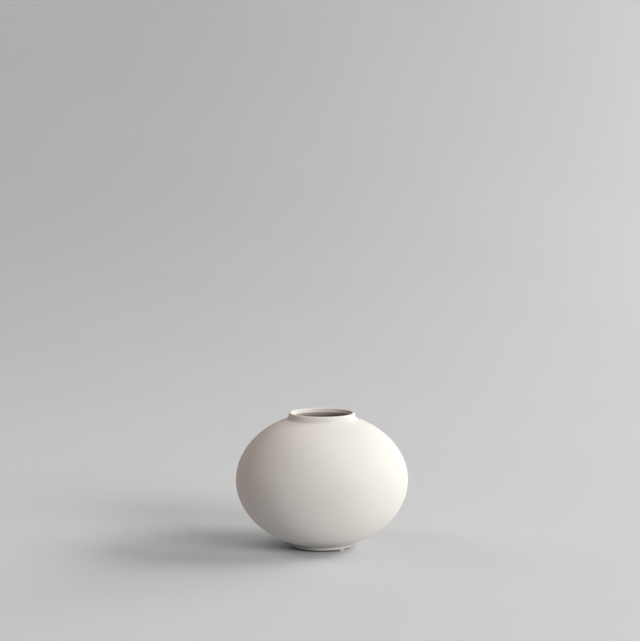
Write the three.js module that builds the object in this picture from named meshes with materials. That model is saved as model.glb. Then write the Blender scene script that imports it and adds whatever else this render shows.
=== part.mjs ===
// A round ceramic vase of the moon jar kind, in millimetres, +Z up.
//
// The body is two thrown bowls, joined rim to rim at the belly. A collar is lapped into the
// opening at the shoulder and carries the neck and its rolled lip. A foot ring is keyed into
// the underside, three soft dots lift the foot off the table, and a glaze lining keeps water in.
// Every piece is a revolved section. The origin is on the table, on the vase's axis.

import * as THREE from "three";

// Body
const BELLY_DIAMETER = 160; // outside, at the widest ring
const BELLY_DEPTH = 124.8; // pole to pole of the flattened round that both bowls follow
const WALL = 3; // clay of the bowls
const BASE_THICKNESS = 4; // clay between the inside floor and the underside

// Slip joints between clay members
const SLIP = 0.3; // width of a joint
const BELLY_KEY_WIDTH = 1.4; // ridge of the upper rim, in the groove of the lower rim
const BELLY_KEY_DEPTH = 1;
const REBATE_DEPTH = 1.6; // how deep the collar's flange is let into the shoulder
const FLANGE_LAP = 3; // how far the flange runs on past the hollow curve of the neck
const SPIGOT_LAND = 1.6; // along the inside, from the undercut of the throat to the joint

// Neck
const MOUTH_DIAMETER = 58.7; // across the middle of the lip
const LIP_THICKNESS = 2.6; // of the rolled lip
const NECK_RISE = 5.4; // top of the lip above the round of the body, at the neck
const NECK_BATTER = 13; // degrees that the outside of the neck leans
const NECK_HOLLOW = 4; // radius of the hollow curve between neck and shoulder
const NECK_FUNNEL = 14; // degrees that the inside of the neck narrows
const THROAT_DEPTH = 3.5; // from the top of the lip down to the throat's edge
const THROAT_ROUND = 0.9; // radius of the throat's edge
const UNDERCUT = 50; // degrees that the clay under the throat falls away to the shoulder

// Foot
const FOOT_DIAMETER = 61; // outside, at the lower edge and at the joint with the bowl
const FOOT_HEIGHT = 3.4; // from the bottom of the ring to the joint
const FOOT_WAIST = 1.3; // how far the outside of the ring is drawn in between its edges
const FOOT_WIDTH = 6; // of the ring, from outside to inside
const FOOT_EDGE_ROUND = 0.8; // radius of both lower edges
const FOOT_KEY_WIDTH = 2; // ridge on top of the ring, in the groove of the bowl
const FOOT_KEY_HEIGHT = 1;

// Glaze lining
const GLAZE_THICKNESS = 0.5;
const GLAZE_MARGIN = 0.6; // bare clay between the edge of the lining and the undercut

// Soft dots under the foot
const PAD_COUNT = 3;
const PAD_DIAMETER = 4.6;
const PAD_HEIGHT = 1.6;
const PAD_EDGE_ROUND = 0.4; // radius of the lower edge
const PAD_FIRST_ANGLE = 40; // degrees round from the front, towards +X

// Fineness of the facets
const TURN_STEPS = 52; // round the vase
const PAD_STEPS = 20; // round a dot
const WALL_STEPS = 9; // along one bowl's wall
const CURVE_STEPS = 4; // along a small round

const radians = THREE.MathUtils.degToRad;
const halfTurn = Math.PI;
const quarterTurn = Math.PI / 2;
const footOutside = FOOT_DIAMETER / 2;
const footInside = footOutside - FOOT_WIDTH;
const footMiddle = footOutside - FOOT_WIDTH / 2;
const footBottom = PAD_HEIGHT;
const seatLevel = footBottom + FOOT_HEIGHT;
const floorLevel = seatLevel + BASE_THICKNESS;
const bellyLevel = seatLevel + heightAt(body(0), footOutside);
const neck = neckCurves();
const lapRadius = neck.hollowEnd.x + FLANGE_LAP;
const openingRadius = neck.undercutEnd.x + SPIGOT_LAND + SLIP;

/** Half-axes of the body's round, taken in by a depth below its outside. */
function body(depth) {
  return { across: BELLY_DIAMETER / 2 - depth, up: BELLY_DEPTH / 2 - depth };
}

/** Height of a round above its widest ring, where it has the given radius. */
function heightAt(round, radius) {
  return round.up * Math.sqrt(1 - (radius / round.across) ** 2);
}

/** Angle along a round's section, from its widest ring, where it has the given radius. */
function angleAt(round, radius) {
  return Math.acos(radius / round.across);
}

/** Point of a round's section at an angle from its widest ring. */
function pointAt(round, angle) {
  return new THREE.Vector2(round.across * Math.cos(angle), bellyLevel + round.up * Math.sin(angle));
}

/** Direction out of a round's section at an angle from its widest ring. */
function outwardAt(round, angle) {
  return new THREE.Vector2(Math.cos(angle) / round.across, Math.sin(angle) / round.up).normalize();
}

/** Unit vector in a direction given as an angle. */
function towards(angle) {
  return new THREE.Vector2(Math.cos(angle), Math.sin(angle));
}

/** Points along a round's section between two angles, both ends included. */
function roundArc(round, from, to, steps) {
  return Array.from({ length: steps + 1 }, (_, i) => pointAt(round, from + ((to - from) * i) / steps));
}

/** Points along a circle between two directions, both ends included. */
function circleArc(centre, radius, from, to, steps) {
  return Array.from({ length: steps + 1 }, (_, i) => {
    const angle = from + ((to - from) * i) / steps;
    return towards(angle).multiplyScalar(radius).add(centre);
  });
}

/** Where a falling measure passes zero between two values. */
function falling(measure, low, high) {
  const halvings = 50;
  for (let i = 0; i < halvings; i++) {
    const middle = (low + high) / 2;
    if (measure(middle) > 0) low = middle;
    else high = middle;
  }
  return (low + high) / 2;
}

/** The hollow curve: a circle that stands on the shoulder and touches the neck's outside. */
function hollowCurve(lip, lipRadius, batter) {
  const shoulder = body(0);
  const outward = (angle) => outwardAt(shoulder, angle);
  const centreAt = (angle) => pointAt(shoulder, angle).addScaledVector(outward(angle), NECK_HOLLOW);
  const clearance = (angle) => centreAt(angle).sub(lip).dot(towards(batter)) - lipRadius - NECK_HOLLOW;
  const angle = falling(clearance, 0, quarterTurn);
  const start = outward(angle).angle() + halfTurn;
  return {
    arc: circleArc(centreAt(angle), NECK_HOLLOW, start, batter + halfTurn, CURVE_STEPS),
    end: pointAt(shoulder, angle),
  };
}

/** The throat's rounded edge, and where the undercut below it meets the inside of the shoulder. */
function throatCurve(lip, lipRadius, lipTop, funnel) {
  const shoulder = body(WALL);
  const inwards = towards(halfTurn - funnel);
  const down = towards(-quarterTurn - funnel);
  const centre = lip.clone().addScaledVector(inwards, lipRadius - THROAT_ROUND);
  centre.addScaledVector(down, (lipTop - THROAT_DEPTH - centre.y) / down.y);
  const undercut = radians(UNDERCUT);
  const arc = circleArc(centre, THROAT_ROUND, halfTurn - funnel, 3 * quarterTurn - undercut, CURVE_STEPS);
  const along = (distance) => arc[CURVE_STEPS].clone().addScaledVector(towards(-undercut), distance);
  const outsideBy = (point) => point.y - bellyLevel - heightAt(shoulder, point.x);
  const length = falling((distance) => outsideBy(along(distance)), 0, BELLY_DEPTH / 4);
  return { arc, end: along(length) };
}

/** The neck's curves, and where they run out on the outside and the inside of the shoulder. */
function neckCurves() {
  const lipRadius = LIP_THICKNESS / 2;
  const mouthRadius = MOUTH_DIAMETER / 2;
  const lipTop = bellyLevel + heightAt(body(0), mouthRadius + lipRadius) + NECK_RISE;
  const lip = new THREE.Vector2(mouthRadius, lipTop - lipRadius);
  const batter = radians(NECK_BATTER);
  const funnel = radians(NECK_FUNNEL);
  const hollow = hollowCurve(lip, lipRadius, batter);
  const throat = throatCurve(lip, lipRadius, lipTop, funnel);
  return {
    hollowArc: hollow.arc,
    hollowEnd: hollow.end,
    lipArc: circleArc(lip, lipRadius, batter, halfTurn - funnel, 2 * CURVE_STEPS),
    throatArc: throat.arc,
    undercutEnd: throat.end,
  };
}

/** A section turned about the vase's axis. */
function turned(section, steps) {
  return new THREE.LatheGeometry(section, steps).rotateX(quarterTurn);
}

/** A closed section, turned about the vase's axis into a ring. */
function turnedRing(section) {
  return turned([...section, section[0].clone()], TURN_STEPS);
}

/** Outline of the belly joint at a level, from outside to inside: a groove below, a ridge above. */
function bellyKey(level) {
  const middle = BELLY_DIAMETER / 2 - WALL / 2;
  return [
    new THREE.Vector2(middle + BELLY_KEY_WIDTH / 2, level),
    new THREE.Vector2(middle, level - BELLY_KEY_DEPTH),
    new THREE.Vector2(middle - BELLY_KEY_WIDTH / 2, level),
  ];
}

/** Angle at which the inside wall meets a floor at a level. */
function floorAngle(round, level) {
  return -Math.asin((bellyLevel - level) / round.up);
}

/** Lower half of the body: groove for the foot ring, flat seat, wall, grooved rim and inside floor. */
function lowerBowl() {
  const outside = body(0);
  const inside = body(WALL);
  const grooveHalf = FOOT_KEY_WIDTH / 2 + SLIP;
  const grooveTop = seatLevel + FOOT_KEY_HEIGHT;
  const section = [
    new THREE.Vector2(0, seatLevel),
    new THREE.Vector2(footMiddle - grooveHalf, seatLevel),
    new THREE.Vector2(footMiddle - grooveHalf, grooveTop),
    new THREE.Vector2(footMiddle + grooveHalf, grooveTop),
    new THREE.Vector2(footMiddle + grooveHalf, seatLevel),
    ...roundArc(outside, -angleAt(outside, footOutside), 0, WALL_STEPS),
    ...bellyKey(bellyLevel),
    ...roundArc(inside, 0, floorAngle(inside, floorLevel), WALL_STEPS),
    new THREE.Vector2(0, floorLevel),
  ];
  return turned(section, TURN_STEPS);
}

/** Upper half of the body: ridged rim, wall, and the rebated opening that takes the collar. */
function upperBowl() {
  const outside = body(0);
  const rebate = body(REBATE_DEPTH);
  const inside = body(WALL);
  const rimAngle = (round) => Math.asin(SLIP / round.up);
  return turnedRing([
    ...roundArc(outside, rimAngle(outside), angleAt(outside, lapRadius), WALL_STEPS),
    ...roundArc(rebate, angleAt(rebate, lapRadius), angleAt(rebate, openingRadius), 2),
    ...roundArc(inside, angleAt(inside, openingRadius), rimAngle(inside), WALL_STEPS),
    ...bellyKey(bellyLevel + SLIP).reverse(),
  ]);
}

/** Neck: flange on the rebate, hollow curve, outside, rolled lip, inside, throat and spigot. */
function neckCollar() {
  const outside = body(0);
  const underFlange = body(REBATE_DEPTH - SLIP);
  const inside = body(WALL);
  const flangeEdge = lapRadius - SLIP;
  const spigotEdge = openingRadius - SLIP;
  return turnedRing([
    pointAt(inside, angleAt(inside, spigotEdge)),
    ...roundArc(underFlange, angleAt(underFlange, spigotEdge), angleAt(underFlange, flangeEdge), 2),
    pointAt(outside, angleAt(outside, flangeEdge)),
    ...neck.hollowArc,
    ...neck.lipArc,
    ...neck.throatArc,
    neck.undercutEnd,
  ]);
}

/** Foot ring: waisted outside, flat bottom with rounded edges, and the ridge that keys it to the bowl. */
function footRing() {
  const top = seatLevel - SLIP;
  const keyTop = top + FOOT_KEY_HEIGHT;
  const roundLevel = footBottom + FOOT_EDGE_ROUND;
  const outerRound = new THREE.Vector2(footOutside - FOOT_EDGE_ROUND, roundLevel);
  const innerRound = new THREE.Vector2(footInside + FOOT_EDGE_ROUND, roundLevel);
  const waist = new THREE.QuadraticBezierCurve(
    new THREE.Vector2(footOutside, roundLevel),
    new THREE.Vector2(footOutside - 2 * FOOT_WAIST, (roundLevel + top) / 2),
    new THREE.Vector2(footOutside, top),
  );
  return turnedRing([
    ...circleArc(innerRound, FOOT_EDGE_ROUND, halfTurn, 3 * quarterTurn, 2),
    ...circleArc(outerRound, FOOT_EDGE_ROUND, -quarterTurn, 0, 2),
    ...waist.getPoints(CURVE_STEPS).slice(1),
    new THREE.Vector2(footMiddle + FOOT_KEY_WIDTH / 2, top),
    new THREE.Vector2(footMiddle + FOOT_KEY_WIDTH / 2, keyTop),
    new THREE.Vector2(footMiddle - FOOT_KEY_WIDTH / 2, keyTop),
    new THREE.Vector2(footMiddle - FOOT_KEY_WIDTH / 2, top),
    new THREE.Vector2(footInside, top),
  ]);
}

/** One side of the glaze lining at a depth below the clay's inside, from the floor's middle to its edge. */
function liningSide(depth) {
  const round = body(WALL + depth);
  const level = floorLevel + depth;
  const edge = angleAt(round, neck.undercutEnd.x + GLAZE_MARGIN);
  return [
    new THREE.Vector2(0, level),
    ...roundArc(round, floorAngle(round, level), 0, WALL_STEPS),
    ...roundArc(round, 0, edge, WALL_STEPS).slice(1),
  ];
}

/** Glaze coat on the floor and wall inside, open at the throat. */
function glazeLining() {
  const section = [...liningSide(SLIP), ...liningSide(SLIP + GLAZE_THICKNESS).reverse()];
  return turned(section, TURN_STEPS);
}

/** Soft dot with a rounded lower edge, its flat bottom on the table. */
function footPad() {
  const radius = PAD_DIAMETER / 2;
  const edge = new THREE.Vector2(radius - PAD_EDGE_ROUND, PAD_EDGE_ROUND);
  const section = [
    new THREE.Vector2(0, 0),
    ...circleArc(edge, PAD_EDGE_ROUND, -quarterTurn, 0, 2),
    new THREE.Vector2(radius, PAD_HEIGHT),
    new THREE.Vector2(0, PAD_HEIGHT),
  ];
  return turned(section, PAD_STEPS);
}

/** A named piece of the vase in its own finish. */
function piece(name, geometry, finish) {
  const mesh = new THREE.Mesh(geometry, new THREE.MeshStandardMaterial(finish));
  mesh.name = name;
  return mesh;
}

const mattWhite = { color: 0xd9d7d2, roughness: 0.85, metalness: 0 };
const footWhite = { color: 0xc7c3bf, roughness: 0.9, metalness: 0 };
const satinGlaze = { color: 0xbfbab4, roughness: 0.35, metalness: 0 };
const softClear = { color: 0xdedbd5, roughness: 0.5, metalness: 0 };

const vase = new THREE.Group();
vase.add(piece("lower_bowl", lowerBowl(), mattWhite));
vase.add(piece("upper_bowl", upperBowl(), mattWhite));
vase.add(piece("neck_collar", neckCollar(), mattWhite));
vase.add(piece("foot_ring", footRing(), footWhite));
vase.add(piece("glaze_lining", glazeLining(), satinGlaze));

for (let i = 0; i < PAD_COUNT; i++) {
  const angle = radians(PAD_FIRST_ANGLE) + (2 * halfTurn * i) / PAD_COUNT;
  const pad = piece(`foot_pad_${i + 1}`, footPad(), softClear);
  pad.position.set(footMiddle * Math.sin(angle), -footMiddle * Math.cos(angle), 0);
  vase.add(pad);
}

export default vase;
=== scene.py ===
"""Looks of a round, matt white vase with a collar neck and a low foot.

Each member of the vase is turned again as a fine mesh in the place of its plain solid, with the slight
unevenness of hand work, and gets its own clay, glaze or rubber. A pale sweep, soft studio light and a
camera stand round it. Lengths are in metres and +Z is up; the origin is on the table, on the vase's axis.
"""

import logging
import math
from abc import ABC, abstractmethod
from dataclasses import dataclass, field
from enum import Enum
from typing import Callable, Iterable

import bpy
import numpy as np
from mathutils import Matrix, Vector


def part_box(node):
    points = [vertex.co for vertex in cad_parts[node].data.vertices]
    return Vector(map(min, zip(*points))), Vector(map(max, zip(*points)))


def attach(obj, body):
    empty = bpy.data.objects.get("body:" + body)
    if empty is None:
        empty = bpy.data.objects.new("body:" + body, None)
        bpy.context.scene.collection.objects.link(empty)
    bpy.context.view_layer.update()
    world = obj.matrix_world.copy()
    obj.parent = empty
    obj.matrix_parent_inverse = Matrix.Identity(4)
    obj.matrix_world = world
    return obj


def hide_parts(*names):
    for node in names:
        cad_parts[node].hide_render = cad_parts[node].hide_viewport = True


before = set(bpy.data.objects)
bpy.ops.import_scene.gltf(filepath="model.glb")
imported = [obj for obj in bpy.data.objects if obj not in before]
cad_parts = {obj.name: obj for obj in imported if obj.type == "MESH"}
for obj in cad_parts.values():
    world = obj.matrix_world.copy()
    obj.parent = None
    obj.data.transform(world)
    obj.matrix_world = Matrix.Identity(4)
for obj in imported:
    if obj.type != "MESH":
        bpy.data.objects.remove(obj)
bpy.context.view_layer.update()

MM = 0.001
HALF_TURN = math.pi
QUARTER_TURN = math.pi / 2
FULL_TURN = 2 * math.pi

# Tilt in degrees of a camera that looks level
LEVEL_LOOK = 90

log = logging.getLogger("vase")

Colour = tuple[float, float, float]
Span = tuple[float, float]
Values = np.ndarray
Piece = bpy.types.Object
Material = bpy.types.Material
Socket = bpy.types.NodeSocket

# A whole share, and the range that most of a noise lies in
WHOLE: Span = (0, 1)
NOISE_SPAN: Span = (0.3, 0.7)

# Sockets of the colour mix node, several of which share a name
MIX_FACTOR = 0
MIX_FIRST = 6
MIX_SECOND = 7
MIX_RESULT = 2


class Slot(Enum):
    """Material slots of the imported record."""

    MATT_CERAMIC = "matt_ceramic"
    FOOT_CERAMIC = "foot_ceramic"
    LINING_GLAZE = "lining_glaze"
    SOFT_DOT = "soft_dot"


class Skin(Enum):
    """What a stretch of a section is, which says how much of the hand shows in it."""

    OUTSIDE = "outside"
    INSIDE = "inside"
    UNDER_THROAT = "under throat"
    JOINT = "joint"


class Measure(Enum):
    """What is noted on the points of a mesh for its finish to read."""

    EDGE = "edge"
    BELOW_THROAT = "below_throat"


class Spacing(Enum):
    """How points are spread along a curve."""

    EVEN = "even"
    CLOSER_AT_ENDS = "closer at ends"


class Reach(Enum):
    """What a light falls on."""

    EVERYTHING = "everything"
    BODY = "body"
    SWEEP = "sweep"


def towards(angle: float) -> Vector:
    """Unit vector in a direction given as an angle."""
    return Vector((math.cos(angle), math.sin(angle)))


def shares(count: int, spacing: Spacing) -> list[float]:
    """Shares from 0 to 1 along a curve.

    Args:
        count: number of steps.
        spacing: how the steps are spread.

    Returns:
        One share more than there are steps.
    """
    even = [i / count for i in range(count + 1)]
    if spacing is Spacing.EVEN:
        return even
    return [(1 - math.cos(HALF_TURN * share)) / 2 for share in even]


def circle_arc(centre: Vector, radius: float, start: float, end: float, steps: int) -> list[Vector]:
    """Points along a circle between two directions from its centre, with both ends."""
    return [centre + radius * towards(start + (end - start) * t) for t in shares(steps, Spacing.EVEN)]


def straight(start: Vector, end: Vector, steps: int) -> list[Vector]:
    """Points along a straight line, with both ends."""
    return [start.lerp(end, t) for t in shares(steps, Spacing.EVEN)]


def where_it_falls(measure: Callable[[float], float], low: float, high: float) -> float:
    """Where a falling measure passes zero.

    Args:
        measure: falls from above zero to below it.
        low: a value where it is above zero.
        high: a value where it is below zero.

    Returns:
        The value between them where it is zero.
    """
    halvings = 50
    for _ in range(halvings):
        middle = (low + high) / 2
        if measure(middle) > 0:
            low = middle
        else:
            high = middle
    return (low + high) / 2


@dataclass(frozen=True)
class Round:
    """The section of a flattened round about the vase's axis.

    Attributes:
        across: half-width, at the widest ring.
        up: half-height.
        level: height of the widest ring.
    """

    across: float
    up: float
    level: float

    def taken_in(self, depth: float) -> "Round":
        """The like round at a depth inside this one."""
        return Round(self.across - depth, self.up - depth, self.level)

    def point(self, angle: float) -> Vector:
        """Point at an angle from the widest ring."""
        return Vector((self.across * math.cos(angle), self.level + self.up * math.sin(angle)))

    def outward(self, angle: float) -> Vector:
        """Direction out of the round at an angle from the widest ring."""
        return Vector((math.cos(angle) / self.across, math.sin(angle) / self.up)).normalized()

    def angle_at_radius(self, radius: float) -> float:
        """Angle above the widest ring where the round has a radius."""
        return math.acos(radius / self.across)

    def angle_at_level(self, level: float) -> float:
        """Angle from the widest ring where the round has a height."""
        return math.asin((level - self.level) / self.up)

    def height_at_radius(self, radius: float) -> float:
        """Height of the upper half where the round has a radius."""
        return self.point(self.angle_at_radius(radius)).y

    def arc(self, start: float, end: float, steps: int, spacing: Spacing) -> list[Vector]:
        """Points along the round between two angles, with both ends."""
        return [self.point(start + (end - start) * t) for t in shares(steps, spacing)]


class Section:
    """A closed outline in radius and height, counter-clockwise, that a member is turned from."""

    same_point = 1e-7

    def __init__(self) -> None:
        """Starts an empty outline."""
        self.points: list[Vector] = []
        self.skins: list[Skin] = []

    def run(self, points: Iterable[Vector], skin: Skin) -> "Section":
        """Carries the outline on.

        Args:
            points: the next points; one that repeats the last point is left out.
            skin: what this stretch is.

        Returns:
            The section itself, so that runs can follow each other.
        """
        for point in points:
            if self.points and (point - self.points[-1]).length < self.same_point:
                continue
            self.points.append(point)
            self.skins.append(skin)
        if (self.points[-1] - self.points[0]).length < self.same_point:
            self.points.pop()
            self.skins.pop()
        return self

    def roundness(self) -> Values:
        """How sharply each point bulges or hollows, in turns of direction per metre.

        Returns:
            Above zero on an edge, below zero in a hollow, and zero along joints and at the outline's ends.
        """
        bends = np.zeros(len(self.points))
        for i in range(1, len(self.points) - 1):
            if Skin.JOINT in self.skins[i - 1:i + 2]:
                continue
            before = self.points[i] - self.points[i - 1]
            after = self.points[i + 1] - self.points[i]
            turn = math.atan2(before.x * after.y - before.y * after.x, before.dot(after))
            bends[i] = 2 * turn / (before.length + after.length)
        return bends

    def below_throat(self) -> Values:
        """How far each point of the stretch under the throat lies from the start of that stretch.

        Returns:
            The distance along the outline in metres, and zero on all other stretches.
        """
        distance = np.zeros(len(self.points))
        for i in range(1, len(self.points)):
            if self.skins[i] is Skin.UNDER_THROAT:
                distance[i] = distance[i - 1] + (self.points[i] - self.points[i - 1]).length
        return distance


@dataclass(frozen=True)
class Wheel:
    """Turns sections into meshes, with a thrower's slight unevenness.

    Attributes:
        body: the round that the unevenness follows.
        still_level: height below which the vase is trimmed true.
        steady_above: height over which the unevenness grows to its full size.
        sway: size of the slow unevenness.
        lobes: number of waves of the slow unevenness, as the most round the vase.
        twist: how far a wave leans, at most, on its way up.
        ring_pitch: rise of the spiral that fingers leave on the inside.
        ring_height: height of that spiral.
        edge_scale: radius of an edge or hollow that counts as fully sharp.
        crease: angle between faces that stays a sharp edge.
        seed: start of the random draws.
    """

    body: Round
    still_level: float
    steady_above: float = 25 * MM
    sway: float = 0.05 * MM
    lobes: int = 5
    twist: float = 2
    ring_pitch: float = 4.2 * MM
    ring_height: float = 0.09 * MM
    edge_scale: float = 2 * MM
    crease: float = math.radians(38)
    seed: int = 11

    def uneven(self, radius: Values, level: Values, turn: Values, ringed: Values) -> Values:
        """How far the hand leaves the surface out from where it should be.

        Args:
            radius: distance of each point from the axis.
            level: height of each point.
            turn: angle of each point round the axis.
            ringed: 1 where the spiral of the fingers shows, else 0.

        Returns:
            The distance outwards for each point.
        """
        latitude = np.arctan2((level - self.body.level) / self.body.up, radius / self.body.across)
        draw = np.random.default_rng(self.seed)
        out = np.zeros(np.broadcast(latitude, turn).shape)
        for lobe in range(1, self.lobes + 1):
            start = draw.uniform(0, FULL_TURN)
            twist = draw.uniform(-self.twist, self.twist)
            out += self.sway / lobe * np.cos(lobe * turn + start + twist * lobe * latitude)
        climb = latitude * (self.body.across + self.body.up) / 2
        out += ringed * self.ring_height * np.sin(FULL_TURN * climb / self.ring_pitch - turn)
        ease = np.clip((level - self.still_level) / self.steady_above, 0, 1)
        return out * ease * ease * (3 - 2 * ease)

    def turn(self, name: str, section: Section, steps: int, centre: Vector = Vector((0, 0))) -> Piece:
        """Turns a section into a closed mesh.

        Args:
            name: name of the piece.
            section: the outline; it may start and end on the axis.
            steps: number of steps round the axis.
            centre: where the axis stands on the table.

        Returns:
            The new object, in the scene.
        """
        radius = np.array([p.x for p in section.points])[:, None]
        level = np.array([p.y for p in section.points])[:, None]
        turn = np.linspace(0, FULL_TURN, steps, endpoint=False)[None, :]
        ringed = np.array([skin is Skin.INSIDE for skin in section.skins], float)[:, None]
        out = np.zeros((len(radius), steps))
        if centre.length == 0:
            out = self.uneven(radius, level, turn, ringed)
        lean = np.arctan2((level - self.body.level) / self.body.up ** 2, radius / self.body.across ** 2)
        radii = np.where(radius > 0, radius + out * np.cos(lean), 0)
        levels = level + out * np.sin(lean)
        rings = np.stack((centre.x + radii * np.sin(turn), centre.y - radii * np.cos(turn), levels), axis=2)
        return self.skinned(name, section, rings, radius[:, 0] > 0)

    def skinned(self, name: str, section: Section, rings: Values, open_ring: Values) -> Piece:
        """Joins rings of points into a closed mesh with a map for baking.

        Args:
            name: name of the piece.
            section: the outline that the rings come from.
            rings: points as rings, steps and coordinates.
            open_ring: False for a ring that is one point on the axis.

        Returns:
            The new object, in the scene.
        """
        count, steps = rings.shape[:2]
        places: list[Values] = []
        first: list[int] = []
        for ring, is_open in zip(rings, open_ring):
            first.append(len(places))
            places.extend(ring if is_open else ring[:1].mean(axis=0, keepdims=True))
        closes = bool(open_ring[0] and open_ring[-1])
        lengths = [(b - a).length for a, b in zip(section.points, section.points[1:] + section.points[:1])]
        along = np.concatenate(([0], np.cumsum(lengths if closes else lengths[:-1])))
        along /= along[-1]
        faces: list[tuple[int, ...]] = []
        chart: list[Span] = []
        for i in range(count if closes else count - 1):
            above = (i + 1) % count
            low, high = along[i], along[i + 1]
            for j in range(steps):
                after = (j + 1) % steps
                left, right, middle = j / steps, (j + 1) / steps, (j + 0.5) / steps
                if not open_ring[i]:
                    faces.append((first[i], first[above] + after, first[above] + j))
                    chart += [(middle, low), (right, high), (left, high)]
                elif not open_ring[above]:
                    faces.append((first[i] + j, first[i] + after, first[above]))
                    chart += [(left, low), (right, low), (middle, high)]
                else:
                    faces.append((first[i] + j, first[i] + after, first[above] + after, first[above] + j))
                    chart += [(left, low), (right, low), (right, high), (left, high)]
        mesh = bpy.data.meshes.new(name)
        mesh.from_pydata([tuple(p) for p in places], [], faces)
        mesh.uv_layers.new(name="OFBake").uv.foreach_set("vector", np.array(chart, np.float32).ravel())
        bulge = np.clip(section.roundness() * self.edge_scale, -1, 1)
        sizes = np.where(open_ring, steps, 1)
        for label, values in ((Measure.EDGE, bulge), (Measure.BELOW_THROAT, section.below_throat())):
            measure = mesh.attributes.new(label.value, "FLOAT", "POINT")
            measure.data.foreach_set("value", np.repeat(values, sizes).astype(np.float32))
        mesh.shade_smooth()
        mesh.set_sharp_from_angle(angle=self.crease)
        piece = bpy.data.objects.new(name, mesh)
        bpy.context.scene.collection.objects.link(piece)
        return piece


@dataclass(frozen=True)
class Mottle:
    """A cloudy change over a surface.

    Attributes:
        lump: size of one lump.
        detail: how many finer layers it has.
        shows: range of the noise over which it comes up.
        strength: share that it reaches.
        depth: depth of the relief that it leaves.
        stretch: scale across and up, or None where it is even.
    """

    lump: float
    detail: float
    shows: Span = NOISE_SPAN
    strength: float = 1
    depth: float = 0
    stretch: Span | None = None


@dataclass(frozen=True)
class Specks:
    """Scattered round marks on a surface.

    Attributes:
        spacing: about how far they are apart.
        size: radius of the largest.
        shows: range from the rim to the middle over which they come up.
        strength: share that they reach.
    """

    spacing: float
    size: float
    shows: Span
    strength: float


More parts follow.
